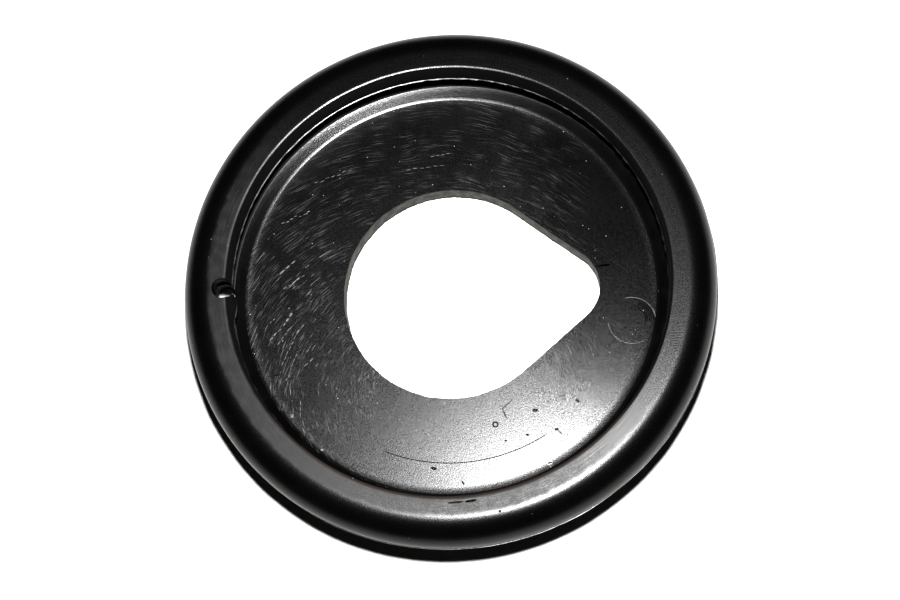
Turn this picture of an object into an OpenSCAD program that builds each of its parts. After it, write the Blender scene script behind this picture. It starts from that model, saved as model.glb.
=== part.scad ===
// Fuel cap gasket: a one-piece moulded rubber ring that seats in a round body opening.
// A bulb-shaped bead stands around a flat web. The web has a teardrop opening for the filler neck.
// Below the bead a panel groove and a tapered foot hold the ring in the body panel.
// The origin is the centre of the base. +Z points up, out of the recess.

/* [Bead] */
// Diameter of the mouth inside the bead
mouth_d = 107.2; // [96:0.1:125]
// Radial width of the bead, from the mouth to its outside
bead_w = 11.7; // [10.6:0.1:14]
// Radius of the bead's outer shoulder
shoulder_r = 6.8; // [6:0.1:7.4]
// Rise of the top land from the mouth to the crest, in degrees
land_slope = 3; // [1:0.5:8]
// Radial width of the worn bevel around the mouth
bevel_w = 1.2; // [0.6:0.1:1.8]
// Fall of the worn bevel toward the mouth
bevel_fall = 0.2; // [0.1:0.1:0.9]

/* [Recess] */
// Thickness of the web
web_t = 6.2; // [4.5:0.1:8]
// Rise of the ledge from the web to the groove's floor
ledge_rise = 1.4; // [1:0.1:2]
// Slope of the ledge, in degrees
ledge_slope = 24; // [20:1:35]
// Radius of the fillet where the ledge meets the web
fillet_r = 4; // [2:0.1:7]
// Overhang of the lip past the outer end of the ledge
ledge_setback = 0.8; // [0.4:0.1:1.4]
// Height of the groove under the lip
groove_h = 6.8; // [5:0.1:8]
// Radius of the groove's back corners
groove_corner_r = 1.2; // [0.5:0.1:1.8]
// Height of the upright lip between the groove and the bevel
lip_h = 6.3; // [5:0.1:8]

/* [Opening] */
// Diameter of the round part of the teardrop opening
opening_d = 54.4; // [46:0.1:60]
// Reach of the teardrop's point from the centre of its round part
point_reach = 37; // [35:0.1:42]
// Radius of the rounded point
point_r = 10.3; // [6:0.1:14]
// Turn of the point from the +X axis, in degrees
opening_turn = 1.9; // [-10:0.1:10]
// Offset of the opening from the ring's axis, along X
opening_x = 0.3; // [-1:0.1:1]
// Offset of the opening from the ring's axis, along Y
opening_y = -0.6; // [-1:0.1:1]

/* [Neck and foot] */
// Depth of the panel groove, in from the bead's outside
panel_depth = 4.8; // [3.5:0.1:5]
// Width of the panel groove at the neck
panel_gap = 2; // [1.2:0.1:3]
// Wall between the panel groove and the groove under the lip
neck_wall = 2.5; // [2:0.1:3.5]
// Distance of the foot's rim inside the bead's outside
foot_inset = 1.9; // [0.8:0.1:2.2]
// Thickness of the foot's rim
rim_t = 1.6; // [1:0.1:2.5]
// Radius of the rim's rounded top edge
rim_round = 0.7; // [0.3:0.1:0.9]

/* [Drain] */
// Diameter of the drain bore
drain_d = 4.9; // [3:0.1:5.4]
// Distance of the bore's mouth outside the gasket's mouth
drain_inset = 0.9; // [0.6:0.1:2.5]
// Position of the drain around the ring, in degrees from +X
drain_at = 182.1; // [0:0.1:359.9]
// Lean of the bore from upright, in degrees
drain_lean = 12.5; // [0:0.5:14]
// Direction of the lean from the outward radius, in degrees
drain_lean_turn = -50; // [-70:5:70]
// Diameter of the boss that thickens the lip around the bore
boss_d = 9; // [7:0.5:9.5]
// Height of the boss above the lip's lower edge
boss_h = 4.5; // [3:0.1:4.8]
// Height of the boss's inner face above the lip wall
boss_stand = 1.1; // [0.6:0.1:1.6]
// Position of the boss past the bore, in degrees
boss_turn = 3.5; // [0:0.5:5]

/* [Hidden] */
$fn = 96;

// Overlap that carries a cut past a face.
past = 1;
// Largest step along a curved outline, in degrees.
arc_step = 5;

// Radii of the ring's round features, all worked out from the mouth.
mouth_r = mouth_d / 2;
ridge_r = mouth_r + bevel_w;
bead_r = mouth_r + bead_w;
neck_r = bead_r - panel_depth;
groove_back_r = neck_r - neck_wall;
foot_r = bead_r - foot_inset;

// Heights up the recess, stacked from the underside.
floor_z = web_t + ledge_rise;
lip_z = floor_z + groove_h;
arris_z = lip_z + lip_h;
ridge_z = arris_z + bevel_fall;

// The land is a straight line from the ridge that meets the shoulder arc at a tangent.
shoulder_x = bead_r - shoulder_r;
land_run = shoulder_x - shoulder_r * sin(land_slope) - ridge_r;
bead_z = ridge_z + land_run * tan(land_slope) - shoulder_r * cos(land_slope);

// The ledge falls from the groove's floor to the web.
ledge_r = mouth_r + ledge_setback;
web_edge_r = ledge_r - ledge_rise / tan(ledge_slope);
groove_corner_x = groove_back_r - groove_corner_r;

// The fillet touches both the web and the ledge.
fillet_x = web_edge_r - fillet_r * tan(ledge_slope / 2);

// The panel groove opens just under the bead, where the shoulder arc meets the neck.
neck_angle = acos((neck_r - shoulder_x) / shoulder_r);
foot_z = bead_z - shoulder_r - panel_gap;
foot_slope = atan((foot_z - rim_t) / (foot_r - rim_round - neck_r));

// Angle at which the teardrop's straight sides leave both of its arcs.
point_x = point_reach - point_r;
tangent_angle = acos((opening_d / 2 - point_r) / point_x);

drain_r = mouth_r + drain_inset;
boss_r = mouth_r + boss_d / 2 - boss_stand;

rubber_black = [0.11, 0.11, 0.115];

// Points along an arc, from one angle to the other.
function arc(centre_x, centre_z, radius, from, to) =
    let (steps = ceil(abs(to - from) / arc_step))
    [for (i = [0 : steps])
        let (angle = from + (to - from) * i / steps)
        [centre_x + radius * cos(angle), centre_z + radius * sin(angle)]];

// Section of the ring, up its outside, over the bead, down the recess and back along the web.
module ring_section() {
    polygon(concat(
        [[0, 0], [foot_r, 0]],
        arc(foot_r - rim_round, rim_t - rim_round, rim_round, 0, 90 - foot_slope),
        [[neck_r, foot_z]],
        arc(shoulder_x, bead_z, shoulder_r, -neck_angle, 90 + land_slope),
        [[ridge_r, ridge_z], [mouth_r, arris_z], [mouth_r, lip_z]],
        arc(groove_corner_x, lip_z - groove_corner_r, groove_corner_r, 90, 0),
        arc(groove_corner_x, floor_z + groove_corner_r, groove_corner_r, 0, -90),
        [[ledge_r, floor_z]],
        arc(fillet_x, web_t + fillet_r, fillet_r, ledge_slope - 90, -90),
        [[0, web_t]]
    ));
}

// Teardrop outline: a round part and a rounded point, joined by their tangents.
module teardrop() {
    polygon(concat(
        arc(0, 0, opening_d / 2, tangent_angle, 360 - tangent_angle),
        arc(point_x, 0, point_r, -tangent_angle, tangent_angle)
    ));
}

// Local thickening of the lip beside the drain bore.
module drain_boss() {
    rotate(drain_at + boss_turn)
        translate([boss_r, 0, lip_z])
            cylinder(d = boss_d, h = boss_h);
}

// Leaning bore through the lip, the groove and the base.
module drain_bore() {
    rotate(drain_at)
        translate([drain_r, 0, arris_z])
            rotate([0, 0, drain_lean_turn])
                rotate([0, 180 - drain_lean, 0])
                    translate([0, 0, -3 * past])
                        cylinder(d = drain_d, h = arris_z / cos(drain_lean) + 6 * past);
}

module gasket() {
    color(rubber_black)
        difference() {
            union() {
                rotate_extrude($fn = 180)
                    ring_section();
                drain_boss();
            }
            translate([opening_x, opening_y, -past])
                rotate(opening_turn)
                    linear_extrude(height = web_t + 2 * past)
                        teardrop();
            drain_bore();
        }
}

gasket();
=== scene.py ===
"""Dressed model of a moulded rubber gasket for a fuel filler recess.

The ring is one moulding. Its section is drawn with a pen, spun about +Z and drawn in to the
teardrop opening, and the drain bore and the marks of the mould and of use are cut from it.
Sizes are in millimetres until the mesh is finished, and in metres from there on.
"""

import logging
import math
import random
from dataclasses import dataclass, field
from enum import IntEnum
from typing import Any

import bmesh
import bpy
from mathutils import Matrix, Vector, noise


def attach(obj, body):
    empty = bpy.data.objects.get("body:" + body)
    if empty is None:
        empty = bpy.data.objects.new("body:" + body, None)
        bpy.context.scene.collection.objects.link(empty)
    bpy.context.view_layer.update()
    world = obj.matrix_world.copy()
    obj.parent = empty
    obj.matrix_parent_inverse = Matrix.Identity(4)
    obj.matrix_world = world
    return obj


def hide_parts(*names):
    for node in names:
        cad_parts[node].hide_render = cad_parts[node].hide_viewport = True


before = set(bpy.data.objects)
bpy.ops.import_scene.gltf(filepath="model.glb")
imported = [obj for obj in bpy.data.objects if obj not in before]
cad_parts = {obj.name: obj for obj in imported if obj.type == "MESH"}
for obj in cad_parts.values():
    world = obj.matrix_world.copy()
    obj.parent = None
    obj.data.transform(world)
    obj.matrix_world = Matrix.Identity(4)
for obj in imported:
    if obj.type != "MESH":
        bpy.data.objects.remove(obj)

LOG = logging.getLogger("gasket")
MM = 0.001
NODE = "gasket"
BODY = "root"

# Two numbers that something runs between: for a mask, where it starts and where it is full.
Span = tuple[float, float]


class Zone(IntEnum):
    """Finish zones of the moulding, in the order of its material slots."""

    BEAD = 0
    WEB = 1
    LEDGE = 2
    LIP = 3
    CUT_WALL = 4
    HIDDEN = 5
    SCUFF = 6
    BORE = 7


@dataclass(frozen=True)
class RingSizes:
    """Driving sizes of the ring, in millimetres and degrees."""

    mouth_r: float = 53.6
    bead_w: float = 11.7
    shoulder_r: float = 6.8
    land_slope: float = 3.0
    bevel_w: float = 1.2
    bevel_fall: float = 0.2
    web_t: float = 6.2
    ledge_rise: float = 1.4
    ledge_slope: float = 24.0
    fillet_r: float = 5.5
    fillet_crease: float = 15.5
    ledge_setback: float = 0.8
    groove_h: float = 6.8
    groove_corner_r: float = 1.2
    lip_h: float = 6.3
    panel_depth: float = 4.8
    panel_gap: float = 2.0
    neck_wall: float = 2.5
    foot_inset: float = 1.9
    rim_t: float = 1.6
    rim_round: float = 0.7
    fin: float = 0.22
    fin_t: float = 0.34
    fin_taper: float = 0.01
    lip_flash: float = 0.26
    lip_flash_t: float = 0.2
    lip_flash_slope: float = 18.0
    bevel_facet_r: float = 54.0
    bevel_facet_w: float = 0.22
    bevel_facet_slope: float = 16.0
    wall_draft: float = 0.05
    wall_chamfer: float = 0.1
    base_band: float = 1.0
    ledge_round: float = 0.15
    arris_round: float = 0.16
    ridge_round: float = 0.06
    foot_round: float = 0.3
    base_round: float = 0.2

    @property
    def ridge_r(self) -> float:
        """Radius of the ridge between the bevel and the land."""
        return self.mouth_r + self.bevel_w

    @property
    def bead_r(self) -> float:
        """Outer radius of the bead."""
        return self.mouth_r + self.bead_w

    @property
    def neck_r(self) -> float:
        """Radius at the bottom of the panel groove."""
        return self.bead_r - self.panel_depth

    @property
    def foot_r(self) -> float:
        """Outer radius of the foot's rim."""
        return self.bead_r - self.foot_inset

    @property
    def ledge_r(self) -> float:
        """Radius where the ledge meets the floor of the groove."""
        return self.mouth_r + self.ledge_setback

    @property
    def groove_back_r(self) -> float:
        """Radius of the back wall of the groove under the lip."""
        return self.neck_r - self.neck_wall

    @property
    def floor_z(self) -> float:
        """Height of the groove's floor."""
        return self.web_t + self.ledge_rise

    @property
    def lip_z(self) -> float:
        """Height of the lip's lower edge."""
        return self.floor_z + self.groove_h

    @property
    def arris_z(self) -> float:
        """Height of the arris at the top of the lip."""
        return self.lip_z + self.lip_h

    @property
    def ridge_z(self) -> float:
        """Height of the ridge."""
        return self.arris_z + self.bevel_fall

    @property
    def shoulder_x(self) -> float:
        """Radius at the centre of the shoulder's arc."""
        return self.bead_r - self.fin - self.shoulder_r

    @property
    def bead_z(self) -> float:
        """Height of the bead's equator, where its shoulder stands furthest out."""
        slope = math.radians(self.land_slope)
        run = self.shoulder_x - self.shoulder_r * math.sin(slope) - self.ridge_r
        return self.ridge_z + run * math.tan(slope) - self.shoulder_r * math.cos(slope)

    @property
    def foot_z(self) -> float:
        """Height where the foot leaves the neck."""
        return self.bead_z - self.shoulder_r - self.panel_gap


@dataclass(frozen=True)
class Teardrop:
    """Outline of the opening: a round part and a rounded point, joined by their tangents."""

    round_r: float = 27.2
    point_x: float = 26.7
    point_r: float = 10.3
    turn: float = 1.9
    centre_x: float = 0.3
    centre_y: float = -0.6
    corrections: int = 6

    def from_axis(self, azimuth: float) -> float:
        """Measure the outline's distance from the ring's axis in one direction.

        Args:
            azimuth: Direction in radians from the +X axis.

        Returns:
            The distance in millimetres.
        """
        reach = self.round_r
        for _ in range(self.corrections):
            across = reach * math.cos(azimuth) - self.centre_x
            up = reach * math.sin(azimuth) - self.centre_y
            reach += self.radius(math.atan2(up, across)) - math.hypot(across, up)
        return reach

    def radius(self, azimuth: float) -> float:
        """Measure the outline's distance from its own centre in one direction.

        Args:
            azimuth: Direction in radians from the +X axis.

        Returns:
            The distance in millimetres.
        """
        off = azimuth - math.radians(self.turn)
        off = abs(math.atan2(math.sin(off), math.cos(off)))
        tangent = math.acos((self.round_r - self.point_r) / self.point_x)
        if off >= tangent:
            return self.round_r
        touch_x = self.point_x + self.point_r * math.cos(tangent)
        if off >= math.atan2(self.point_r * math.sin(tangent), touch_x):
            return self.round_r / math.cos(tangent - off)
        across = self.point_x * math.sin(off)
        return self.point_x * math.cos(off) + math.sqrt(self.point_r**2 - across**2)


class SectionPen:
    """Draws a closed wire in the XZ plane with extruded lines and spun arcs."""

    ROUND_SEGMENTS = 3

    def __init__(self, x: float, z: float) -> None:
        """Start the wire at one point.

        Args:
            x: Radius of the first point.
            z: Height of the first point.
        """
        self.bm = bmesh.new()
        self.start = self.bm.verts.new((x, 0.0, z))
        self.tip = self.start
        self.rounds: list[tuple[Vector, float]] = []

    def line(self, x: float, z: float, steps: int = 1, rounding: float = 0.0) -> None:
        """Draw a straight line to a point.

        Args:
            x: Radius of the end point.
            z: Height of the end point.
            steps: Number of edges in the line.
            rounding: Radius that the corner at its end is rounded to.
        """
        begin, end = self.tip.co.copy(), Vector((x, 0.0, z))
        for step in range(1, steps + 1):
            self.tip = bmesh.ops.extrude_vert_indiv(self.bm, verts=[self.tip])["verts"][0]
            self.tip.co = begin.lerp(end, step / steps)
        if rounding:
            self.rounds.append((end, rounding))

    def arc(self, x: float, z: float, sweep: float, steps: int) -> None:
        """Sweep the tip around a centre.

        Args:
            x: Radius of the centre.
            z: Height of the centre.
            sweep: Angle in degrees, positive from +X toward +Z.
            steps: Number of edges in the arc.
        """
        spun = bmesh.ops.spin(
            self.bm,
            geom=[self.tip],
            cent=(x, 0.0, z),
            axis=(0.0, -1.0, 0.0),
            angle=math.radians(sweep),
            steps=steps,
        )
        self.tip = spun["geom_last"][0]

    def close(self) -> bmesh.types.BMesh:
        """Join the ends, then round the corners that were marked.

        Returns:
            The finished wire.
        """
        self.bm.edges.new((self.tip, self.start))
        for place, radius in self.rounds:
            corner = min(self.bm.verts, key=lambda v: (v.co - place).length)
            bmesh.ops.bevel(
                self.bm,
                geom=[corner],
                offset=radius,
                segments=self.ROUND_SEGMENTS,
                profile=0.5,
                affect="VERTICES",
                material=-1,
            )
        return self.bm


def spin_round(bm: bmesh.types.BMesh, steps: int, sweep: float = 360.0) -> None:
    """Spin a wire about the Z axis into a closed skin that faces outward.

    Args:
        bm: Mesh that holds only the wire.
        steps: Number of steps around.
        sweep: Angle of the spin in degrees; less than a full turn leaves two open ends.
    """
    bmesh.ops.spin(
        bm,
        geom=bm.edges[:],
        cent=(0.0, 0.0, 0.0),
        axis=(0.0, 0.0, 1.0),
        angle=math.radians(sweep),
        steps=steps,
        use_merge=sweep == 360.0,
    )
    if sweep != 360.0:
        bmesh.ops.holes_fill(bm, edges=[e for e in bm.edges if e.is_boundary])
    bmesh.ops.recalc_face_normals(bm, faces=bm.faces)


def add_to(target: bmesh.types.BMesh, part: bmesh.types.BMesh, place: Matrix) -> None:
    """Move a finished shape into place inside a larger mesh.

    Args:
        target: Mesh that takes the shape.
        part: The shape, which is freed.
        place: Where the shape goes.
    """
    bmesh.ops.transform(part, matrix=place, verts=part.verts)
    holder = bpy.data.meshes.new("part")
    part.to_mesh(holder)
    part.free()
    target.from_mesh(holder)
    bpy.data.meshes.remove(holder)


def add_ball(target: bmesh.types.BMesh, place: Matrix, half_sizes: tuple[float, float, float]) -> None:
    """Add a ball to a mesh, stretched to three half sizes.

    Args:
        target: Mesh that takes the ball.
        place: Where its centre goes and how it is turned.
        half_sizes: Half of its length, width and height.
    """
    stretch = Matrix.Diagonal((*half_sizes, 1.0))
    bmesh.ops.create_icosphere(target, subdivisions=2, radius=1.0, matrix=place @ stretch)


def make_object(bm: bmesh.types.BMesh, name: str) -> bpy.types.Object:
    """Turn a mesh into an object of the scene.

    Args:
        bm: The mesh, which is freed.
        name: Name of the object.

    Returns:
        The object.
    """
    mesh = bpy.data.meshes.new(name)
    bm.to_mesh(mesh)
    bm.free()
    made = bpy.data.objects.new(name, mesh)
    bpy.context.scene.collection.objects.link(made)
    return made


def azimuth_of(co: Vector) -> float:
    """Return the direction of a point from the ring's axis, in radians."""
    return math.atan2(co.y, co.x)


def ripple(azimuth: float, per_turn: float, seed: float) -> float:
    """Read smooth noise around the ring that meets itself after a full turn.

    Args:
        azimuth: Direction in radians.
        per_turn: Roughly how many waves there are in one turn.
        seed: Height of the slice that the noise is read on.

    Returns:
        A value from about -1 to 1.
    """
    reach = per_turn / math.tau
    return noise.noise(Vector((math.cos(azimuth) * reach, math.sin(azimuth) * reach, seed)))


@dataclass(frozen=True)
class DrainBore:
    """Leaning bore through the lip and the base, with the swelling of the lip beside it."""

    bore_r: float = 2.45
    inset: float = 0.9
    azimuth: float = 182.1
    lean: float = 12.5
    lean_turn: float = -50.0
    flare: float = 0.12
    swell: float = 1.1
    swell_h: float = 4.5
    swell_azimuth: float = 185.6
    swell_half_angle: float = 5.5
    swell_below: float = 0.2
    past: float = 3.0
    steps_round: int = 64
    weld: float = 1e-4

    def cutter(self, sizes: RingSizes) -> bmesh.types.BMesh:
        """Make the bore's cutter, with a flared mouth.

        Args:
            sizes: Sizes of the ring that the bore goes through.

        Returns:
            The cutter, in place.
        """
        length = sizes.arris_z / math.cos(math.radians(self.lean)) + 2 * self.past
        pen = SectionPen(0.0, self.past)
        pen.line(0.0, -length)
        pen.line(self.bore_r, -length)
        pen.line(self.bore_r, -self.flare, steps=4)
        pen.arc(self.bore_r + self.flare, -self.flare, -90.0, 4)
        pen.line(self.bore_r + self.flare, self.past)
        bm = pen.close()
        spin_round(bm, self.steps_round)
        bmesh.ops.remove_doubles(bm, verts=bm.verts, dist=self.weld)
        bmesh.ops.recalc_face_normals(bm, faces=bm.faces)
        mouth = sizes.mouth_r + self.inset
        place = Matrix.Rotation(math.radians(self.azimuth), 4, "Z")
        place @= Matrix.Translation((mouth, 0.0, sizes.ridge_z + self.flare))
        place @= Matrix.Rotation(math.radians(self.lean_turn), 4, "Z")
        place @= Matrix.Rotation(math.radians(-self.lean), 4, "Y")
        bmesh.ops.transform(bm, matrix=place, verts=bm.verts)
        return bm

    def swelling(self, azimuth: float, z: float, sizes: RingSizes) -> float:
        """Measure how far the lip swells inward at one place.

        Args:
            azimuth: Direction of the place in radians.
            z: Height of the place.
            sizes: Sizes of the ring.

        Returns:
            The swelling in millimetres.
        """
        off = azimuth - math.radians(self.swell_azimuth)
        off = math.degrees(math.atan2(math.sin(off), math.cos(off)))
        up = (z - sizes.lip_z) / self.swell_h
        if abs(off) >= self.swell_half_angle or not -self.swell_below <= up <= 1.0:
            return 0.0
        around = math.cos(0.5 * math.pi * off / self.swell_half_angle) ** 2
        return self.swell * around * (1.0 - max(up, 0.0) ** 2)


@dataclass(frozen=True)
class Gouge:
    """A small boat-shaped nick or pit in the surface, in millimetres and degrees."""

    x: float
    y: float
    length: float
    width: float
    turn: float
    depth: float = 0.3

    def add_cutter(self, target: bmesh.types.BMesh, z: float) -> None:
        """Add the cutter of this nick to a mesh.

        Args:
            target: Mesh that takes the cutter.
            z: Height of the surface that the nick is in.
        """
        place = Matrix.Translation((self.x, self.y, z)) @ Matrix.Rotation(math.radians(self.turn), 4, "Z")
        add_ball(target, place, (self.length / 2, self.width / 2, self.depth))


@dataclass
class MarkCutters:
    """Marks of the mould and of use: grooves, pits and cuts, and arcs of a raised circle in a pale
    material that is a painted glint.

    Each cutter stands clear of the next, because the Boolean drops the ring where two of them cross.
    """

    witness_x: float = 44.7
    witness_y: float = -9.1
    witness_r: float = 5.85
    witness_bead_r: float = 0.1
    witness_sink: float = 0.03
    # Start and sweep in degrees of the arcs that carry the painted glint.
    witness_glint_spans: tuple[tuple[float, float], ...] = ((8.0, 96.0), (186.0, 110.0))
    tool_arcs: int = 5
    tool_arc_pitch: float = 0.48
    tool_arc_r: float = 0.13
    tool_arc_start: float = -5.0
    tool_arc_sweep: float = 75.0
    tool_arc_rise: float = 0.06
    seam_r: float = 43.5
    seam_groove_r: float = 0.11
    seam_start: float = -112.0
    seam_sweep: float = 54.0
    seam_rise: float = 0.04
    pits: tuple[Gouge, ...] = (
        Gouge(-4.4, -44.7, 1.5, 0.7, -15.0),
        Gouge(2.6, -48.3, 1.2, 0.4, -60.0),
        Gouge(20.4, -31.0, 1.4, 0.7, 0.0),
        Gouge(25.5, -35.8, 1.0, 0.6, 10.0),
        Gouge(26.3, -36.6, 1.6, 0.3, -50.0, 0.15),
        Gouge(18.4, -37.0, 0.9, 0.5, -20.0),
        Gouge(30.7, -28.9, 1.2, 0.6, -25.0),
        Gouge(13.1, -38.3, 0.8, 0.4, -20.0),
        Gouge(23.6, -43.9, 1.1, 0.4, 20.0),
        Gouge(13.6, -29.4, 3.2, 0.25, 43.0, 0.12),
        Gouge(12.9, -31.6, 2.4, 0.25, -65.0, 0.12),
        Gouge(-43.8, -20.8, 2.9, 0.35, 12.0),
        Gouge(29.9, 11.9, 17.9, 0.22, -34.0, 0.1),
        Gouge(39.2, 7.5, 20.7, 0.2, -39.7, 0.1),
    )
    blister_x: float = 10.7
    blister_y: float = -34.3
    blister_r: float = 0.6
    blister_groove_r: float = 0.15
    blister_rise: float = 0.02
    slit: Gouge = Gouge(1.7, -55.0, 3.8, 0.45, 4.0, 0.4)
    slit_end: Gouge = Gouge(5.3, -54.7, 2.8, 0.6, 8.0, 0.6)
    land_pit: Gouge = Gouge(11.9, -57.2, 0.7, 0.5, 10.0)
    nick: Gouge = Gouge(38.4, 5.25, 3.4, 0.5, 6.0, 1.4)
    bar_sides: int = 8
    bar_steps: int = 8
    bar_step_angle: float = 5.0

    def torus(self, ring_r: float, tube_r: float, start: float, sweep: float) -> bmesh.types.BMesh:
        """Make a thin round bar bent to an arc about the origin.

        Args:
            ring_r: Radius of the arc.
            tube_r: Radius of the bar.
            start: Azimuth where the arc begins, in degrees.
            sweep: Length of the arc, in degrees.

        Returns:
            The bar as a closed mesh.
        """
        bm = bmesh.new()
        bmesh.ops.create_circle(bm, segments=self.bar_sides, radius=tube_r)
        upright = Matrix.Translation((ring_r, 0.0, 0.0)) @ Matrix.Rotation(math.pi / 2, 4, "X")
        bmesh.ops.transform(bm, matrix=upright, verts=bm.verts)
        steps = max(self.bar_steps, round(sweep / self.bar_step_angle * math.sqrt(ring_r)))
        spin_round(bm, steps, sweep)
        turn = Matrix.Rotation(math.radians(start), 4, "Z")
        bmesh.ops.transform(bm, matrix=turn, verts=bm.verts)
        return bm

    def build(self, sizes: RingSizes) -> bmesh.types.BMesh:
        """Gather every mark into one mesh of separate closed cutters.

        Args:
            sizes: Sizes of the ring that the marks are cut into.

        Returns:
            The cutters, in place.
        """
        cutters = bmesh.new()
        web = sizes.web_t
        slope = math.radians(sizes.land_slope)
        witness = Matrix.Translation((self.witness_x, self.witness_y, web + self.tool_arc_rise))
        for index in range(self.tool_arcs):
            arc_r = self.witness_r - self.tool_arc_pitch * (index + 1)
            bar = self.torus(arc_r, self.tool_arc_r, self.tool_arc_start, self.tool_arc_sweep)
            add_to(cutters, bar, witness)
        seam = self.torus(self.seam_r, self.seam_groove_r, self.seam_start, self.seam_sweep)
        add_to(cutters, seam, Matrix.Translation((0.0, 0.0, web + self.seam_rise)))
        blister = Matrix.Translation((self.blister_x, self.blister_y, web + self.blister_rise))
        add_to(cutters, self.torus(self.blister_r, self.blister_groove_r, 0.0, 360.0), blister)
        for pit in (*self.pits, self.nick):
            pit.add_cutter(cutters, web)
        for cut in (self.slit, self.slit_end, self.land_pit):
            land_z = sizes.ridge_z + (math.hypot(cut.x, cut.y) - sizes.ridge_r) * math.tan(slope)
            cut.add_cutter(cutters, land_z)
        return cutters

    def witness_glint_bead(self, sizes: RingSizes) -> bmesh.types.BMesh:
        """Make arcs of the raised circle that the mould's plug left on the web, only where it catches the
        light; their pale material is a painted glint.

        Args:
            sizes: Sizes of the ring that carries it.

        Returns:
            Closed bars along the two arcs that carry the painted glint.
        """
        beads = bmesh.new()
        place = Matrix.Translation((self.witness_x, self.witness_y, sizes.web_t - self.witness_sink))
        for start, sweep in self.witness_glint_spans:
            add_to(beads, self.torus(self.witness_r, self.witness_bead_r, start, sweep), place)
        return beads


@dataclass(frozen=True)
class Scuff:
    """A pale streak of torn rubber on the web, from one point to another, in millimetres."""

    start: tuple[float, float]
    end: tuple[float, float]
    width: float
    flecks: int
    spread: float = 0.08


@dataclass
class ScuffField:
    """Streaks and chips of torn rubber that stand up from the web."""

    height: float = 0.09
    half_pitch: float = 0.46
    length_range: Span = (0.8, 1.0)
    width_range: Span = (0.7, 1.2)
    turn_range: Span = (-0.09, 0.09)
    seed: int = 11
    scuffs: tuple[Scuff, ...] = (
        Scuff((-43.3, 5.4), (-39.1, 9.0), 0.38, 3, 0.12),
        Scuff((-45.5, -11.9), (-42.4, -8.6), 0.34, 3),
        Scuff((-42.2, -8.3), (-39.7, -4.7), 0.42, 3, 0.14),
        Scuff((-42.2, 1.4), (-36.7, 5.0), 0.26, 5),
        Scuff((-43.4, -13.0), (-40.2, -8.6), 0.24, 4),
        Scuff((-42.3, -18.4), (-38.7, -10.6), 0.22, 6),
        Scuff((-39.8, -18.8), (-38.3, -15.2), 0.22, 3),
        Scuff((-36.6, -18.8), (-34.0, -16.4), 0.3, 2),
        Scuff((-38.7, -10.3), (-36.7, -7.7), 0.28, 2),
        Scuff((-43.2, 19.1), (-35.4, 21.6), 0.3, 7, 0.5),
        Scuff((-45.6, -7.4), (-44.0, -6.1), 0.26, 2),
        Scuff((-41.1, -22.3), (-40.0, -20.4), 0.26, 2),
        Scuff((-37.3, -27.2), (-37.2, -31.5), 0.22, 3),
        Scuff((-34.9, 29.4), (-24.9, 33.1), 0.2, 7, 0.3),
        Scuff((-4.9, 35.7), (0.4, 36.4), 0.22, 4),
        Scuff((-11.3, 32.4), (-1.0, 33.0), 0.18, 6, 0.25),
        Scuff((-39.9, -31.0), (-38.7, -31.0), 0.9, 1),
        Scuff((-32.2, -39.6), (-31.2, -39.6), 0.8, 1),
    )

    def build(self, sizes: RingSizes) -> bmesh.types.BMesh:
        """Lay a row of lens-shaped flecks along each scuff.

        Args:
            sizes: Sizes of the ring that the scuffs lie on.

        Returns:
            The flecks, in place, none touching its neighbour in the row.
        """
        chance = random.Random(self.seed)
        field_mesh = bmesh.new()
        for scuff in self.scuffs:
            start, end = Vector(scuff.start), Vector(scuff.end)
            along = (end - start).normalized()
            pitch = (end - start).length / scuff.flecks
            for index in range(scuff.flecks):
                middle = start + along * pitch * (index + 0.5)
                middle += Vector((-along.y, along.x)) * chance.uniform(-scuff.spread, scuff.spread)
                width = scuff.width * chance.uniform(*self.width_range)
                length = self.half_pitch * pitch * chance.uniform(*self.length_range)
                turn = math.atan2(along.y, along.x) + chance.uniform(*self.turn_range)
                place = Matrix.Translation((middle.x, middle.y, sizes.web_t))
                place @= Matrix.Rotation(turn, 4, "Z")
                add_ball(field_mesh, place, (length, width / 2, self.height))
        return field_mesh


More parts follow.
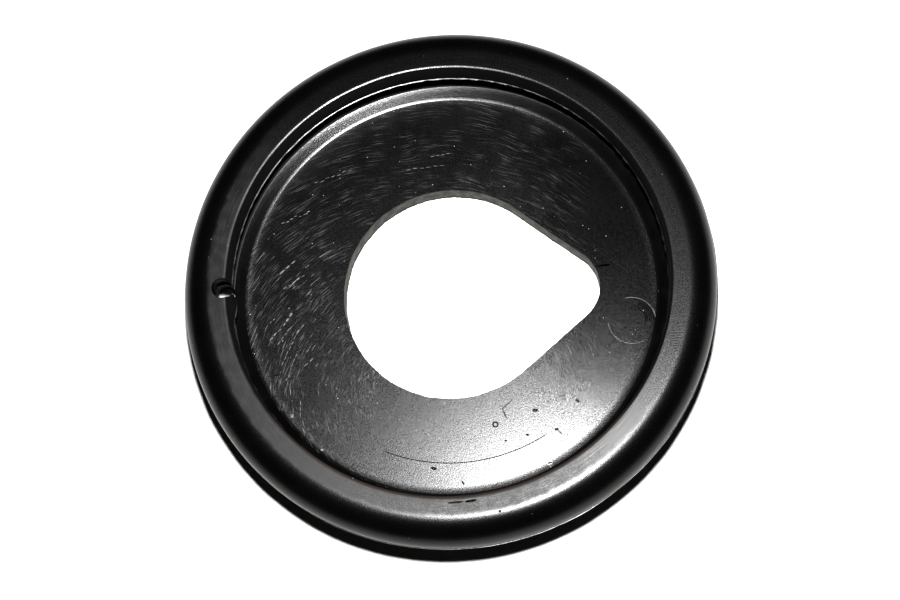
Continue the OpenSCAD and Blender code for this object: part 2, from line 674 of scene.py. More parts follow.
@dataclass
class RubberRing:
    """The whole moulding: bead, recess, web, opening, neck and foot."""

    sizes: RingSizes = field(default_factory=RingSizes)
    opening: Teardrop = field(default_factory=Teardrop)
    drain: DrainBore = field(default_factory=DrainBore)
    marks: MarkCutters = field(default_factory=MarkCutters)
    scuffs: ScuffField = field(default_factory=ScuffField)
    steps_round: int = 480
    sharp_angle: float = 32.0
    # Outside the first radius, and this close to the opening, the web keeps its shape.
    hold_r: float = 47.0
    rigid_edge: float = 1.5
    # Waves of the edges: a share or depth, and for each wave its count in a turn and its seed.
    waviness: float = 0.1
    wave_inset: float = 0.9
    wave: tuple[float, float] = (9.0, 4.0)
    trim_raggedness: float = 0.12
    trim_waves: tuple[tuple[float, float], ...] = ((260.0, 1.0), (70.0, 2.0))
    lip_raggedness: float = 0.12
    lip_waves: tuple[tuple[float, float], ...] = ((150.0, 3.0), (420.0, 3.5))
    fin_loss: float = 0.5
    fin_level: float = 0.6
    fin_wave: tuple[float, float] = (60.0, 5.0)
    nub_azimuth: float = 123.9
    nub_r: float = 0.55
    nub_spacing: float = 1.05
    nub_sink: float = 0.5
    nub_rise: float = 0.6
    nub_stretch: float = 1.5
    # How far from an edge a face or a point still counts as part of it.
    slack: float = 0.01
    skin: float = 0.05
    near: float = 0.1
    band: float = 0.3
    web_band: float = 0.4
    mouth_band: float = 0.6

    def build(self) -> bpy.types.Object:
        """Build the finished ring.

        Returns:
            The ring's object, at the origin, in metres.
        """
        bm = self._section()
        spin_round(bm, self.steps_round)
        self._mark_zones(bm)
        self._draw_in_web(bm)
        self._wear(bm)
        ring = self._to_object(bm, "rubber_ring")
        self._cut(ring, self.marks.build(self.sizes), "DIFFERENCE", Zone.WEB)
        # The witness circle's arcs take the pale scuff material as a painted glint.
        self._cut(ring, self.marks.witness_glint_bead(self.sizes), "UNION", Zone.SCUFF)
        self._cut(ring, self.scuffs.build(self.sizes), "UNION", Zone.SCUFF)
        self._cut(ring, self._nub(), "UNION", Zone.BEAD)
        # The bore's walls get a darker colour than the rest of the rubber: painted shade inside the hole.
        self._cut(ring, self.drain.cutter(self.sizes), "DIFFERENCE", Zone.BORE)
        ring.data.transform(Matrix.Scale(MM, 4))
        ring.data.shade_smooth()
        ring.data.set_sharp_from_angle(angle=math.radians(self.sharp_angle))
        return ring

    def _section(self) -> bmesh.types.BMesh:
        """Draw the ring's section, up the opening's wall and out over the web.

        Returns:
            The closed wire.
        """
        s = self.sizes
        edge_r = self.opening.round_r
        pen = SectionPen(edge_r + s.wall_draft, 0.0)
        pen.line(edge_r, s.web_t - s.wall_chamfer, steps=5)
        pen.line(edge_r + s.wall_chamfer, s.web_t)
        self._draw_recess(pen)
        self._draw_bead(pen)
        self._draw_foot(pen)
        pen.line(edge_r + s.wall_draft + s.base_band, 0.0, steps=9)
        return pen.close()

    def _draw_recess(self, pen: SectionPen) -> None:
        """Draw the web, the ledge, the groove under the lip and the lip.

        Args:
            pen: The pen, at the top of the opening's wall.
        """
        s = self.sizes
        slope, crease = math.radians(s.ledge_slope), math.radians(s.fillet_crease)
        rise = s.fillet_r * (math.cos(crease) - math.cos(slope))
        run = s.fillet_r * (math.sin(slope) - math.sin(crease))
        foot_r = s.ledge_r - (s.ledge_rise - rise) / math.tan(slope) - run
        pen.line(foot_r, s.web_t, steps=14)
        centre_x = foot_r - s.fillet_r * math.sin(crease)
        centre_z = s.web_t + s.fillet_r * math.cos(crease)
        pen.arc(centre_x, centre_z, s.ledge_slope - s.fillet_crease, 6)
        pen.line(s.ledge_r, s.floor_z, steps=2, rounding=s.ledge_round)
        corner_x = s.groove_back_r - s.groove_corner_r
        pen.line(corner_x, s.floor_z)
        pen.arc(corner_x, s.floor_z + s.groove_corner_r, 90.0, 4)
        pen.line(s.groove_back_r, s.lip_z - s.groove_corner_r, steps=2)
        pen.arc(corner_x, s.lip_z - s.groove_corner_r, 90.0, 4)
        pen.line(s.mouth_r - s.lip_flash, s.lip_z, steps=2)
        flash_z = s.lip_z + s.lip_flash_t
        pen.line(s.mouth_r - s.lip_flash, flash_z)
        pen.line(s.mouth_r, flash_z + s.lip_flash * math.tan(math.radians(s.lip_flash_slope)))
        pen.line(s.mouth_r, s.arris_z, steps=6, rounding=s.arris_round)

    def _draw_bead(self, pen: SectionPen) -> None:
        """Draw the bevel, the land and the shoulder with its parting fin.

        Args:
            pen: The pen, at the arris.
        """
        s = self.sizes
        fin_angle = math.degrees(math.asin(s.fin_t / 2 / s.shoulder_r))
        neck_angle = math.degrees(math.acos((s.neck_r - s.shoulder_x) / s.shoulder_r))
        slope = math.radians(s.land_slope)
        facet_drop = s.bevel_facet_w * math.tan(math.radians(s.bevel_facet_slope))
        pen.line(s.bevel_facet_r, s.ridge_z - facet_drop)
        pen.line(s.bevel_facet_r + s.bevel_facet_w, s.ridge_z, rounding=s.ridge_round)
        land_x = s.shoulder_x - s.shoulder_r * math.sin(slope)
        pen.line(land_x, s.bead_z + s.shoulder_r * math.cos(slope), steps=4)
        pen.arc(s.shoulder_x, s.bead_z, fin_angle - 90.0 - s.land_slope, 26)
        pen.line(s.bead_r, s.bead_z + s.fin_t / 2 - s.fin_taper)
        pen.line(s.bead_r, s.bead_z)
        base = s.shoulder_r * math.cos(math.radians(fin_angle))
        pen.line(s.shoulder_x + base, s.bead_z - s.fin_t / 2)
        pen.arc(s.shoulder_x, s.bead_z, fin_angle - neck_angle, 18)

    def _draw_foot(self, pen: SectionPen) -> None:
        """Draw the neck, the foot and the underside's outer edge.

        Args:
            pen: The pen, where the shoulder meets the neck.
        """
        s = self.sizes
        cone_x = s.foot_r - s.rim_round
        slope = math.degrees(math.atan((s.foot_z - s.rim_t) / (cone_x - s.neck_r)))
        pen.line(s.neck_r, s.foot_z, steps=2, rounding=s.foot_round)
        top = math.radians(90.0 - slope)
        centre_z = s.rim_t - s.rim_round
        pen.line(cone_x + s.rim_round * math.cos(top), centre_z + s.rim_round * math.sin(top), steps=5)
        pen.arc(cone_x, centre_z, slope - 90.0, 5)
        pen.line(s.foot_r, 0.0, rounding=s.base_round)

    def _mark_zones(self, bm: bmesh.types.BMesh) -> None:
        """Give each face of the plain ring the finish of its zone.

        Args:
            bm: The spun ring, before the web is drawn in.
        """
        for face in bm.faces:
            middle = face.calc_center_median()
            face.material_index = self._zone(math.hypot(middle.x, middle.y), middle.z)

    def _zone(self, r: float, z: float) -> Zone:
        """Name the zone of one place on the ring's skin.

        Args:
            r: Radius of the place.
            z: Height of the place.

        Returns:
            Its zone.
        """
        s = self.sizes
        neck_z = s.bead_z - s.shoulder_r
        if r < self.opening.round_r + s.wall_draft + self.skin and self.slack < z:
            return Zone.CUT_WALL
        if z < self.slack or (z < neck_z + self.band and r > s.groove_back_r + self.near):
            return Zone.HIDDEN
        if z < s.web_t + self.web_band and r < s.ledge_r:
            return Zone.WEB
        if z < s.floor_z - self.slack and r < s.ledge_r:
            return Zone.LEDGE
        if s.mouth_r + self.band < r < s.groove_back_r + self.near and z < s.lip_z + self.slack:
            return Zone.HIDDEN
        if r < s.mouth_r + self.band and s.lip_z + self.band < z < s.arris_z - self.skin:
            return Zone.LIP
        return Zone.BEAD

    def _draw_in_web(self, bm: bmesh.types.BMesh) -> None:
        """Move the web's inner edge from a circle to the teardrop.

        Args:
            bm: The spun ring.
        """
        rigid_r = self.opening.round_r + self.rigid_edge
        for vert in bm.verts:
            r = math.hypot(vert.co.x, vert.co.y)
            if r >= self.hold_r:
                continue
            share = min(1.0, (self.hold_r - r) / (self.hold_r - rigid_r))
            shift = share * (self.opening.from_axis(azimuth_of(vert.co)) - self.opening.round_r)
            vert.co.xy *= (r + shift) / r

    def _wear(self, bm: bmesh.types.BMesh) -> None:
        """Swell the lip beside the drain and make the trimmed edges uneven.

        Args:
            bm: The ring with its opening.
        """
        s = self.sizes
        for vert in bm.verts:
            r, azimuth = math.hypot(vert.co.x, vert.co.y), azimuth_of(vert.co)
            shift = self.waviness * (ripple(azimuth, *self.wave) - self.wave_inset)
            if r < self.opening.from_axis(azimuth) + s.wall_draft + self.near:
                shift += self.trim_raggedness * sum(ripple(azimuth, *wave) for wave in self.trim_waves)
            elif abs(r - s.mouth_r) < self.mouth_band and vert.co.z > s.lip_z - self.band:
                shift -= self.drain.swelling(azimuth, vert.co.z, s)
                if r < s.mouth_r - self.skin:
                    shift += self.lip_raggedness * sum(ripple(azimuth, *wave) for wave in self.lip_waves)
            elif r > s.bead_r - self.near:
                shift -= self.fin_loss * s.fin * (self.fin_level + ripple(azimuth, *self.fin_wave))
            vert.co.xy *= (r + shift) / r

    def _nub(self) -> bmesh.types.BMesh:
        """Make the two-lobed nub that the gate left on the bead's outside.

        Returns:
            The nub, in place.
        """
        s = self.sizes
        nub = bmesh.new()
        for side in (-1.0, 1.0):
            around = self.nub_azimuth + side * math.degrees(self.nub_r * self.nub_spacing / s.bead_r)
            place = Matrix.Rotation(math.radians(around), 4, "Z")
            place @= Matrix.Translation((s.bead_r - self.nub_sink, 0.0, s.bead_z + self.nub_rise))
            add_ball(nub, place, (self.nub_r, self.nub_r, self.nub_r * self.nub_stretch))
        return nub

    def _to_object(self, bm: bmesh.types.BMesh, name: str) -> bpy.types.Object:
        """Turn a mesh into an object that shares the ring's material slots.

        Args:
            bm: The mesh, which is freed.
            name: Name of the object.

        Returns:
            The object.
        """
        piece = make_object(bm, name)
        for zone in Zone:
            piece.data.materials.append(finish_material(zone))
        return piece

    def _cut(self, ring: bpy.types.Object, tool: bmesh.types.BMesh, operation: str, zone: Zone) -> None:
        """Cut or join a tool to the ring and keep the result as its mesh.

        Args:
            ring: The ring.
            tool: The cutting mesh, which is freed.
            operation: DIFFERENCE or UNION.
            zone: Finish of the faces that the tool leaves.
        """
        for face in tool.faces:
            face.material_index = zone
        cutter = self._to_object(tool, "cutter")
        boolean = ring.modifiers.new("cut", "BOOLEAN")
        boolean.object = cutter
        boolean.operation = operation
        boolean.solver = "EXACT"
        depsgraph = bpy.context.evaluated_depsgraph_get()
        result = bpy.data.meshes.new_from_object(ring.evaluated_get(depsgraph))
        ring.modifiers.remove(boolean)
        old, ring.data = ring.data, result
        bpy.data.meshes.remove(old)
        bpy.data.meshes.remove(cutter.data)
        LOG.info("%s %s: %d faces", ring.name, operation.lower(), len(ring.data.polygons))


def linear(code: str) -> tuple[float, float, float, float]:
    """Turn an sRGB hex colour to linear values.

    Args:
        code: Colour as #rrggbb.

    Returns:
        Linear red, green and blue, and full opacity.
    """
    channels = [int(code[i : i + 2], 16) / 255.0 for i in (1, 3, 5)]
    low = [c / 12.92 if c <= 0.04045 else ((c + 0.055) / 1.055) ** 2.4 for c in channels]
    return (low[0], low[1], low[2], 1.0)


def add_node(tree: bpy.types.NodeTree, kind: str, links: dict[Any, Any], **settings: Any) -> Any:
    """Add a node with its settings, values and links.

    Args:
        tree: Node tree that takes the node.
        kind: Node type without the ShaderNode prefix.
        links: Value or incoming socket for each input, by name or number.
        settings: Properties of the node.

    Returns:
        The node's first output in use, or None if it has none.
    """
    node = tree.nodes.new(f"ShaderNode{kind}")
    for name, value in settings.items():
        setattr(node, name, value)
    usable = [socket for socket in node.inputs if socket.enabled]
    for key, value in links.items():
        socket = usable[key] if isinstance(key, int) else next(s for s in usable if s.name == key)
        if isinstance(value, bpy.types.NodeSocket):
            tree.links.new(value, socket)
        else:
            socket.default_value = value
    return next((socket for socket in node.outputs if socket.enabled), None)


@dataclass(frozen=True)
class Patches:
    """Look of a mask of irregular patches, read from noise.

    The size is in millimetres, or in the units of the place it is read at. The levels are where in
    the noise a patch begins and where it is full, and the detail counts the layers of finer noise.
    """

    size: float
    levels: Span
    detail: float = 2.0


@dataclass(frozen=True)
class Rings:
    """How a pattern is drawn out along rings, in millimetres.

    One unit of it is the given length along a ring and the given width across, which is true at the
    middle radius, and the rings wander that far from round.
    """

    length: float
    width: float
    middle_r: float
    wander: float
    centre: tuple[float, float] = (0.0, 0.0)


class SkinPlan:
    """Places and patterns that the rubber finishes of one material share, in millimetres."""

    WANDER_SIZE = 14.0
    SPECK_RARITY = 2.5

    def __init__(self, tree: bpy.types.NodeTree) -> None:
        """Lay out the ring's coordinates.

        Args:
            tree: The material's node tree.
        """
        self.tree = tree
        place = add_node(tree, "TexCoord", {}).node.outputs["Object"]
        self.mm = add_node(tree, "Mapping", {"Vector": place, "Scale": (1 / MM,) * 3})
        parts = add_node(tree, "SeparateXYZ", {"Vector": self.mm}).node.outputs
        self.x, self.y, self.z = parts["X"], parts["Y"], parts["Z"]
        self.flat = add_node(tree, "VectorMath", {0: self.mm, 1: (1.0, 1.0, 0.0)}, operation="MULTIPLY")
        self.radius = add_node(tree, "VectorMath", {0: self.flat}, operation="LENGTH")

    def _fold(self, operation: str, values: tuple[Any, ...]) -> Any:
        """Combine several numbers, one after another.

        Args:
            operation: What joins one number to the next.
            values: Numbers or sockets.

        Returns:
            The result's socket.
        """
        result = values[0]
        for value in values[1:]:
            result = add_node(self.tree, "Math", {0: result, 1: value}, operation=operation)
        return result

    def total(self, *values: Any) -> Any:
        """Return the sum of numbers or sockets."""
        return self._fold("ADD", values)

    def product(self, *values: Any) -> Any:
        """Return the product of numbers or sockets, such as where several masks meet."""
        return self._fold("MULTIPLY", values)

    def either(self, *values: Any) -> Any:
        """Return the highest of numbers or sockets, such as where any of several masks is."""
        return self._fold("MAXIMUM", values)

    def ramp(self, value: Any, ends: Span, top: float = 1.0) -> Any:
        """Turn a value into a smooth mask.

        Args:
            value: Socket to read.
            ends: Value where the mask is nought, and where it is full.
            top: Value of the full mask.

        Returns:
            The mask's socket.
        """
        links = {"Value": value, "From Min": ends[0], "From Max": ends[1], "To Max": top}
        return add_node(self.tree, "MapRange", links, interpolation_type="SMOOTHSTEP")

    def patches(self, look: Patches, at: Any = None) -> Any:
        """Make a mask of irregular patches.

        Args:
            look: Size, levels and detail of the patches.
            at: Place to read, the plain one unless it is given.

        Returns:
            The mask's socket.
        """
        place = self.mm if at is None else at
        links = {"Vector": place, "Scale": 1 / look.size, "Detail": look.detail}
        return self.ramp(add_node(self.tree, "TexNoise", links), look.levels)

    def drawn_out(self, rings: Rings) -> Any:
        """Make coordinates that draw a pattern out along rings, with no seam.

        Args:
            rings: Sizes and centre of the rings.

        Returns:
            The vector's socket.
        """
        centre = (*rings.centre, 0.0)
        away = add_node(self.tree, "VectorMath", {0: self.flat, 1: centre}, operation="SUBTRACT")
        radius = add_node(self.tree, "VectorMath", {0: away}, operation="LENGTH")
        heading = add_node(self.tree, "VectorMath", {0: away}, operation="NORMALIZE")
        waves = {"Vector": self.mm, "Scale": 1 / self.WANDER_SIZE, "Detail": 1.0}
        slow = add_node(self.tree, "TexNoise", waves)
        radius = self.total(radius, self.product(slow, 2.0 * rings.wander))
        reach = (rings.middle_r / rings.length,) * 3
        around = add_node(self.tree, "VectorMath", {0: heading, 1: reach}, operation="MULTIPLY")
        step = add_node(self.tree, "Math", {0: radius, 1: rings.width}, operation="DIVIDE")
        across = add_node(self.tree, "CombineXYZ", {"Z": step})
        return add_node(self.tree, "VectorMath", {0: around, 1: across}, operation="ADD")

    def specks(self, pitch: float, size: float) -> Any:
        """Make a mask of small scattered specks.

        Args:
            pitch: Distance between them in millimetres.
            size: Radius of the largest in millimetres.

        Returns:
            The mask's socket.
        """
        cells = add_node(self.tree, "TexVoronoi", {"Vector": self.mm, "Scale": 1 / pitch}).node
        spread = add_node(self.tree, "SeparateXYZ", {"Vector": cells.outputs["Color"]})
        rarity = add_node(self.tree, "Math", {0: spread, 1: self.SPECK_RARITY}, operation="POWER")
        test = {0: cells.outputs["Distance"], 1: self.product(rarity, size / pitch)}
        return add_node(self.tree, "Math", test, operation="LESS_THAN")

    def blend(self, mask: Any, below: Any, above: Any) -> Any:
        """Lay one colour over another.

        Args:
            mask: Share of the upper colour.
            below: Lower colour, as #rrggbb or a socket.
            above: Upper colour, as #rrggbb or a socket.

        Returns:
            The colour's socket.
        """
        pair = [linear(colour) if isinstance(colour, str) else colour for colour in (below, above)]
        links = {"Factor": mask, "A": pair[0], "B": pair[1]}
        return add_node(self.tree, "Mix", links, data_type="RGBA")


@dataclass(frozen=True)
class RubberFinish:
    """Moulded nitrile rubber, which gives the eye a near-black skin with a fine mould grain.

    The grain is drawn about twice as coarse as the real one, so that it shows as sparkle: the
    roughness goes up and down by the sparkle from one grain to the next.
    """

    name: str
    dark: str = "#0b0b0b"
    light: str = "#121211"
    roughness: float = 0.4
    sparkle: float = 0.04
    specular: float = 0.5
    ior: float = 1.5
    grain: Patches = Patches(0.17, (0.32, 0.68), 1.0)
    grain_depth: float = 0.006
    blotches: Patches = Patches(9.0, (0.35, 0.65), 5.0)

    def build(self) -> bpy.types.Material:
        """Build the material of one zone.

        Returns:
            The material.
        """
        material = bpy.data.materials.new(self.name)
        material.use_nodes = True
        tree = material.node_tree
        tree.nodes.clear()
        colour, roughness, height = self.layers(SkinPlan(tree))
        bump = add_node(tree, "Bump", {"Height": height, "Distance": MM, "Strength": 1.0})
        look = {
            "Base Color": colour,
            "Roughness": roughness,
            "IOR": self.ior,
            "Specular IOR Level": self.specular,
            "Normal": bump,
        }
        add_node(tree, "OutputMaterial", {"Surface": add_node(tree, "BsdfPrincipled", look)})
        return material

    def layers(self, plan: SkinPlan) -> tuple[Any, Any, Any]:
        """Lay down the plain moulded surface: blotched colour and mould grain.

        Args:
            plan: Coordinates and patterns.

        Returns:
            Colour, roughness and height, the height in millimetres.
        """
        colour = plan.blend(plan.patches(self.blotches), self.dark, self.light)
        grain = plan.patches(self.grain)
        spread = plan.total(plan.product(grain, 2.0 * self.sparkle), self.roughness - self.sparkle)
        return colour, spread, plan.product(grain, self.grain_depth)


@dataclass(frozen=True)
class WebFinish(RubberFinish):
    """Grained web, which glints under the light, with scratches whose pale colour is a painted glint,
    dust and a smooth patch.

    The fine scratches leave the near right free and thin out to the right, and the bold ones keep
    to the left. The smooth patch lies beside the opening's point and has a ragged edge.
    """

    scratch_glint: str = "#858584"
    scratch_gain: float = 0.22
    scratch_height: float = 0.012
    fine_rings: Rings = Rings(5.0, 0.2, 55.0, 1.6, (-8.0, -27.0))
    fine_lines: Patches = Patches(1.0, (0.52, 0.72), 3.0)
    fine_breaks: Patches = Patches(6.0, (0.36, 0.62), 4.0)
    fine_far: Span = (-38.0, -14.0)
    fine_left: Span = (-8.0, -20.0)
    fine_right: Span = (40.0, 24.0)
    fine_share: float = 0.42
    bold_rings: Rings = Rings(6.0, 0.3, 40.0, 1.6, (-8.0, -27.0))
    bold_lines: Patches = Patches(1.0, (0.6, 0.72), 3.0)
    bold_breaks: Patches = Patches(4.6, (0.47, 0.58))
    bold_left: Span = (-25.0, -36.0)
    bold_near: Span = (26.0, 8.0)
    smooth_gain: float = -0.07
    smooth_edge: Patches = Patches(4.0, (0.3, 0.7), 5.0)
    smooth_stray: float = 7.0
    smooth_right: Span = (18.0, 34.0)
    smooth_far: Span = (-44.0, -24.0)
    dust: str = "#c4c4c0"
    dust_pitch: float = 1.4
    dust_size: float = 0.13

    def scratches(self, plan: SkinPlan) -> Any:
        """Draw the arcs that an off-centre cap scratched as it was turned.

        Args:
            plan: Coordinates and patterns.

        Returns:
            The mask of the scratches.
        """
        fine = plan.patches(self.fine_lines, plan.drawn_out(self.fine_rings))
        fine = plan.product(fine, plan.patches(self.fine_breaks))
        bold = plan.patches(self.bold_lines, plan.drawn_out(self.bold_rings))
        bold = plan.product(bold, plan.patches(self.bold_breaks))
        left = plan.product(plan.ramp(plan.x, self.bold_left), plan.ramp(plan.y, self.bold_near))
        clear = plan.either(plan.ramp(plan.y, self.fine_far), plan.ramp(plan.x, self.fine_left))
        clear = plan.product(clear, plan.ramp(plan.x, self.fine_right, self.fine_share))
        return plan.either(plan.product(fine, clear), plan.product(bold, left))

    def layers(self, plan: SkinPlan) -> tuple[Any, Any, Any]:
        """Lay down grain, scratches, dust and the smooth patch beside the opening's point.

        Args:
            plan: Coordinates and patterns.

        Returns:
            Colour, roughness and height, the height in millimetres.
        """
        colour, roughness, grain = super().layers(plan)
        scratches = self.scratches(plan)
        stray = plan.total(plan.x, plan.product(plan.patches(self.smooth_edge), self.smooth_stray))
        smooth = plan.product(plan.ramp(stray, self.smooth_right), plan.ramp(plan.y, self.smooth_far))
        # Painted glint: the scratches are coloured pale where their facets would catch the light.
        colour = plan.blend(scratches, colour, self.scratch_glint)
        colour = plan.blend(plan.specks(self.dust_pitch, self.dust_size), colour, self.dust)
        soft = plan.product(smooth, self.smooth_gain)
        rough = plan.product(scratches, self.scratch_gain)
        height = plan.total(grain, plan.product(scratches, self.scratch_height))
        return colour, plan.total(roughness, soft, rough), height


@dataclass(frozen=True)
class BeadFinish(RubberFinish):
    """Satin shoulder with a dry grey land, and a worn bevel coloured brown on its near side only: partly
    its own brown, partly a painted sheen.

    The land is driest at its near left, and a short row of tool marks crosses it on the right.
    """

    land_dark: str = "#121110"
    land_light: str = "#272523"
    land_blotches: Patches = Patches(2.0, (0.34, 0.66), 4.0)
    land_edge: Patches = Patches(3.0, (0.3, 0.7))
    land_stray: float = 0.6
    land_r: Span = (58.8, 57.5)
    land_z: Span = (19.0, 20.2)
    land_tone: float = 0.5
    land_gain: float = 0.17
    land_mottle: float = 0.025
    dry_heading: tuple[float, float] = (-0.62, -0.78)
    dry_reach: Span = (-20.0, 35.0)
    streak_rings: Rings = Rings(7.0, 0.3, 57.0, 0.3)
    streak_lines: Patches = Patches(1.0, (0.4, 0.66), 3.0)
    streak_height: float = 0.006
    bevel_brown_and_sheen: str = "#2e2622"
    bevel_r: Span = (54.42, 54.26)
    bevel_sheen_near: Span = (-22.0, -46.0)
    bevel_gain: float = 0.14
    dust: str = "#b4b0a8"
    dust_pitch: float = 2.2
    dust_size: float = 0.13
    chatter_pitch: float = 0.62
    chatter_gain: float = 0.07
    chatter_start: Span = (-14.8, -16.2)
    chatter_end: Span = (-21.4, -20.0)
    chatter_right: Span = (52.2, 53.4)

    def layers(self, plan: SkinPlan) -> tuple[Any, Any, Any]:
        """Lay down the shoulder, the dry land and the worn bevel.

        Args:
            plan: Coordinates and patterns.

        Returns:
            Colour, roughness and height, the height in millimetres.
        """
        colour, roughness, grain = super().layers(plan)
        streaks = plan.patches(self.streak_lines, plan.drawn_out(self.streak_rings))
        blotch = plan.patches(self.land_blotches)
        stray = plan.total(plan.radius, plan.product(plan.patches(self.land_edge), self.land_stray))
        top = plan.ramp(plan.z, self.land_z)
        land = plan.product(plan.ramp(stray, self.land_r), top)
        toward_x, toward_y = self.dry_heading
        toward = plan.total(plan.product(plan.x, toward_x), plan.product(plan.y, toward_y))
        dry = plan.product(land, plan.ramp(toward, self.dry_reach))
        tone = plan.product(plan.total(streaks, blotch), plan.product(dry, self.land_tone))
        colour = plan.blend(tone, colour, plan.blend(blotch, self.land_dark, self.land_light))
        # Painted sheen and brown wear: the bevel's colour is kept to the near side, where the light's
        # sheen falls.
        near = plan.product(plan.ramp(plan.y, self.bevel_sheen_near), top)
        bevel = plan.product(plan.ramp(plan.radius, self.bevel_r), near)
        colour = plan.blend(bevel, colour, self.bevel_brown_and_sheen)
        colour = plan.blend(plan.specks(self.dust_pitch, self.dust_size), colour, self.dust)
        mottle = plan.product(blotch, 2.0 * self.land_mottle)
        mottle = plan.total(mottle, self.land_gain - self.land_mottle)
        gain = plan.total(plan.product(dry, mottle), plan.product(bevel, self.bevel_gain))
        lines = plan.product(streaks, land, self.streak_height)
        chatter = plan.product(self.chatter(plan), land, self.chatter_gain)
        return colour, plan.total(roughness, gain, chatter), plan.total(grain, lines)

    def chatter(self, plan: SkinPlan) -> Any:
        """Draw the short row of fine tool marks across the right of the land.

        Args:
            plan: Coordinates and patterns.

        Returns:
            Wave of -1 to 1 inside the row, and nought around it.
        """
        phase = plan.product(plan.y, math.tau / self.chatter_pitch)
        wave = add_node(plan.tree, "Math", {0: phase}, operation="SINE")
        row = plan.product(plan.ramp(plan.y, self.chatter_start), plan.ramp(plan.y, self.chatter_end))
        return plan.product(wave, plan.product(row, plan.ramp(plan.x, self.chatter_right)))


@dataclass(frozen=True)
class TrimFinish(RubberFinish):
    """Die-cut edge, dull and grey with dust, and black along both of its arrises."""

    arris: str = "#070707"
    upper_arris: Span = (RingSizes.web_t - 0.75, RingSizes.web_t - 0.4)
    lower_arris: Span = (1.1, 0.6)

    def layers(self, plan: SkinPlan) -> tuple[Any, Any, Any]:
        """Lay down the dusty wall and its dark arrises.

        Args:
            plan: Coordinates and patterns.

        Returns:
            Colour, roughness and height, the height in millimetres.
        """
        colour, roughness, grain = super().layers(plan)
        arrises = plan.either(plan.ramp(plan.z, self.upper_arris), plan.ramp(plan.z, self.lower_arris))
        return plan.blend(arrises, colour, self.arris), roughness, grain


FINISHES: dict[Zone, RubberFinish] = {
    # Moulded against polished steel: near black, with one long soft highlight around the shoulder.
    Zone.BEAD: BeadFinish("Satin black rubber bead", "#070707", "#0b0b0c", 0.28, 0.05),
    # Moulded against etched steel: a broad bright glare that breaks up into sparkle, and scratches with a
    # painted glint.
    Zone.WEB: WebFinish("Scuffed grained rubber web", "#0e0e0f", "#161616", 0.268, 0.06),
    # Etched more deeply: a slope that stays dark beside the glare, with a gritty shine.
    Zone.LEDGE: RubberFinish(
        "Coarse grained rubber ledge", "#080808", "#121211", 0.22, 0.05, specular=0.35
    ),
    # Dried out and dusty: brownish black with no highlight.
    Zone.LIP: RubberFinish("Dry rubber lip wall", "#11100e", "#1d1b18", 0.55, 0.05),
    # Cut, not moulded: matt mid grey with dust caught in the cut.
    Zone.CUT_WALL: TrimFinish(
        "Trimmed rubber edge", "#4a4845", "#6c6a65", 0.7, 0.05, blotches=Patches(2.0, (0.35, 0.65), 5.0)
    ),
    # The plain skin of the groove, the neck, the foot and the underside: a dull, even black.
    Zone.HIDDEN: RubberFinish("Plain moulded rubber"),
    # Rubber torn open: pale, matt and uneven. The same pale material is also the painted glint on the
    # witness circle's arcs.
    Zone.SCUFF: RubberFinish(
        "Torn rubber scuff and painted glint", "#666664", "#969694", 0.55, 0.1, blotches=Patches(0.5, (0.35, 0.65), 5.0)
    ),
    # Moulded around a pin and smooth; coloured darker than the other rubber as painted shade, so that the
    # bore reads as a hole.
    Zone.BORE: RubberFinish("Bore skin with painted shade", "#040404", "#070707", 0.5, 0.02, specular=0.1),
}


def finish_material(zone: Zone) -> bpy.types.Material:
    """Return the material of a zone, building it the first time."""
    finish = FINISHES[zone]
    return bpy.data.materials.get(finish.name) or finish.build()


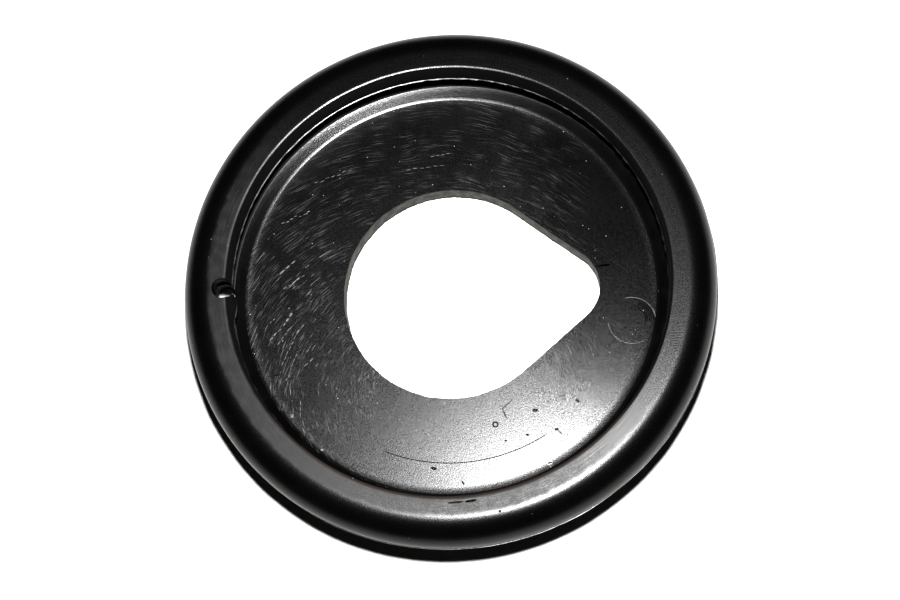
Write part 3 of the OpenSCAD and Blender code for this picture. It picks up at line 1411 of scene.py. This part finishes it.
@dataclass
class Studio:
    """Floor, light and camera around the part, in millimetres and degrees."""

    floor_half: float = 1500.0
    floor_colour: str = "#f2f2f0"
    floor_roughness: float = 0.9
    flash_place: tuple[float, float, float] = (25.0, -22.6, 376.0)
    flash_size: float = 28.0
    flash_power: float = 3.0
    room_level: float = 0.01
    contrast_gamma: float = 0.7
    camera_place: tuple[float, float, float] = (24.3, -99.7, 354.4)
    camera_target: tuple[float, float, float] = (-0.1, -2.6, 6.2)
    camera_roll: float = -0.55
    focal_px: float = 1454.0
    frame_px: float = 900.0
    sensor_mm: float = 36.0

    def build(self) -> None:
        """Set out the floor, the light and the camera."""
        self._floor()
        self._light()
        self._camera()

    def _floor(self) -> None:
        """Lay a plain pale floor at the part's base."""
        bm = bmesh.new()
        bmesh.ops.create_grid(bm, x_segments=1, y_segments=1, size=self.floor_half * MM)
        floor = make_object(bm, "paper_floor")
        material = bpy.data.materials.new("Matt white paper")
        material.use_nodes = True
        paper = material.node_tree.nodes["Principled BSDF"]
        paper.inputs["Base Color"].default_value = linear(self.floor_colour)
        paper.inputs["Roughness"].default_value = self.floor_roughness
        floor.data.materials.append(material)

    def _light(self) -> None:
        """Place the main light close to the camera, in a dim room."""
        lamp = bpy.data.lights.new("main_light", "AREA")
        lamp.shape = "DISK"
        lamp.size = self.flash_size * MM
        lamp.energy = self.flash_power
        light = bpy.data.objects.new("main_light", lamp)
        light.location = Vector(self.flash_place) * MM
        bpy.context.scene.collection.objects.link(light)
        world = bpy.data.worlds.new("dim_room")
        world.use_nodes = True
        room = world.node_tree.nodes["Background"]
        room.inputs["Color"].default_value = (self.room_level,) * 3 + (1.0,)
        bpy.context.scene.world = world
        bpy.context.scene.view_settings.view_transform = "Standard"
        bpy.context.scene.view_settings.gamma = self.contrast_gamma

    def _camera(self) -> None:
        """Aim the camera down on the ring from its near right."""
        eye, target = Vector(self.camera_place) * MM, Vector(self.camera_target) * MM
        lens = bpy.data.cameras.new("camera")
        lens.sensor_width = self.sensor_mm
        lens.lens = self.sensor_mm * self.focal_px / self.frame_px
        camera = bpy.data.objects.new("camera", lens)
        back = (eye - target).normalized()
        right = Vector((0.0, 1.0, 0.0)).cross(back).normalized()
        aim = Matrix((right, back.cross(right), back)).transposed().to_4x4()
        roll = Matrix.Rotation(math.radians(self.camera_roll), 4, "Z")
        camera.matrix_world = Matrix.Translation(eye) @ aim @ roll
        bpy.context.scene.collection.objects.link(camera)
        bpy.context.scene.camera = camera


def main() -> None:
    """Build the studio and the ring, and report each piece."""
    logging.basicConfig(level=logging.INFO, format="%(name)s: %(message)s")
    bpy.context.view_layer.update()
    Studio().build()
    ring = RubberRing().build()
    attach(ring, BODY)
    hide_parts(NODE)
    LOG.info("%s: %d faces", ring.name, len(ring.data.polygons))


if __name__ == "__main__":
    main()
